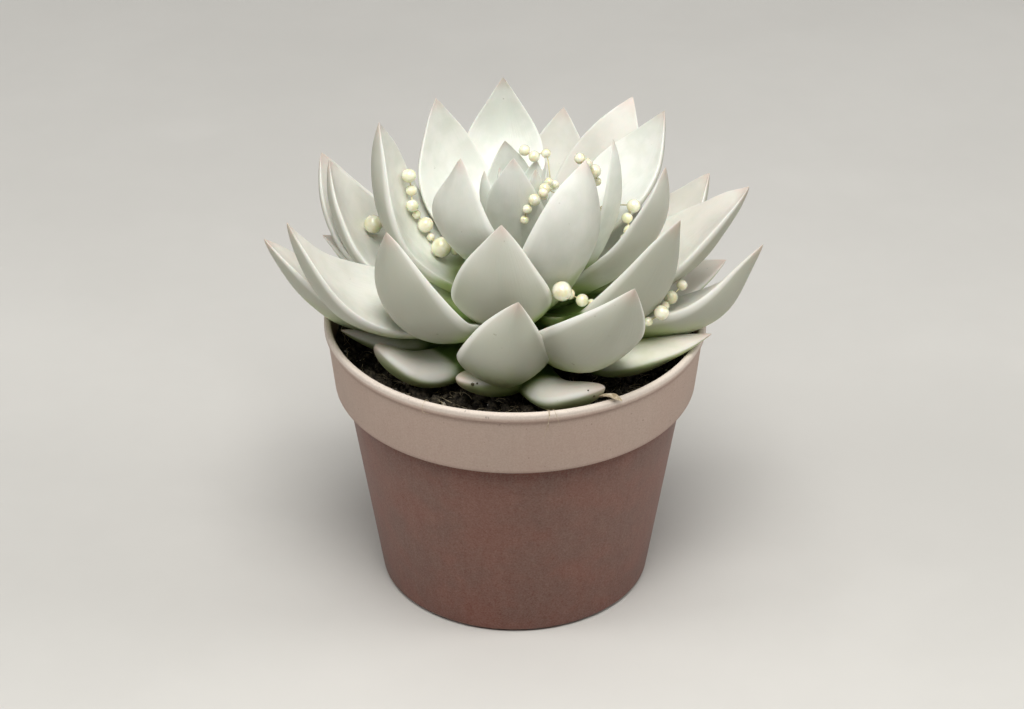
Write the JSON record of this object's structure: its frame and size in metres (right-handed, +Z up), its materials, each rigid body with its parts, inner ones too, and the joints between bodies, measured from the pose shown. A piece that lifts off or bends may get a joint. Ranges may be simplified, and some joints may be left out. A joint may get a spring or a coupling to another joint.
{
  "type": "potted rosette succulent",
  "caption": "Rosette succulent with thick pointed leaves and pearl garland trim, growing in a round tapered plastic nursery pot filled with soil",
  "frame": {"origin": "centre of the pot's underside", "axes": "+Z up along the pot's axis, -Y towards the front"},
  "size_m": [0.1522, 0.1304, 0.158],
  "materials": {
    "pot": "moulded terracotta-coloured plastic, dusted with pale overspray",
    "soil": "loose dark growing mix with fibres",
    "leaf": "fleshy leaf with a pale matte coating",
    "pearl": "ivory pearl"
  },
  "bodies": {
    "root": {"pot": "pot", "soil": "soil", "rosette": "leaf", "pearl_strand_front": "pearl", "pearl_strand_back": "pearl", "pearl_strand_inner": "pearl", "pearl_strand_heart": "pearl"}
  },
  "joints": []
}
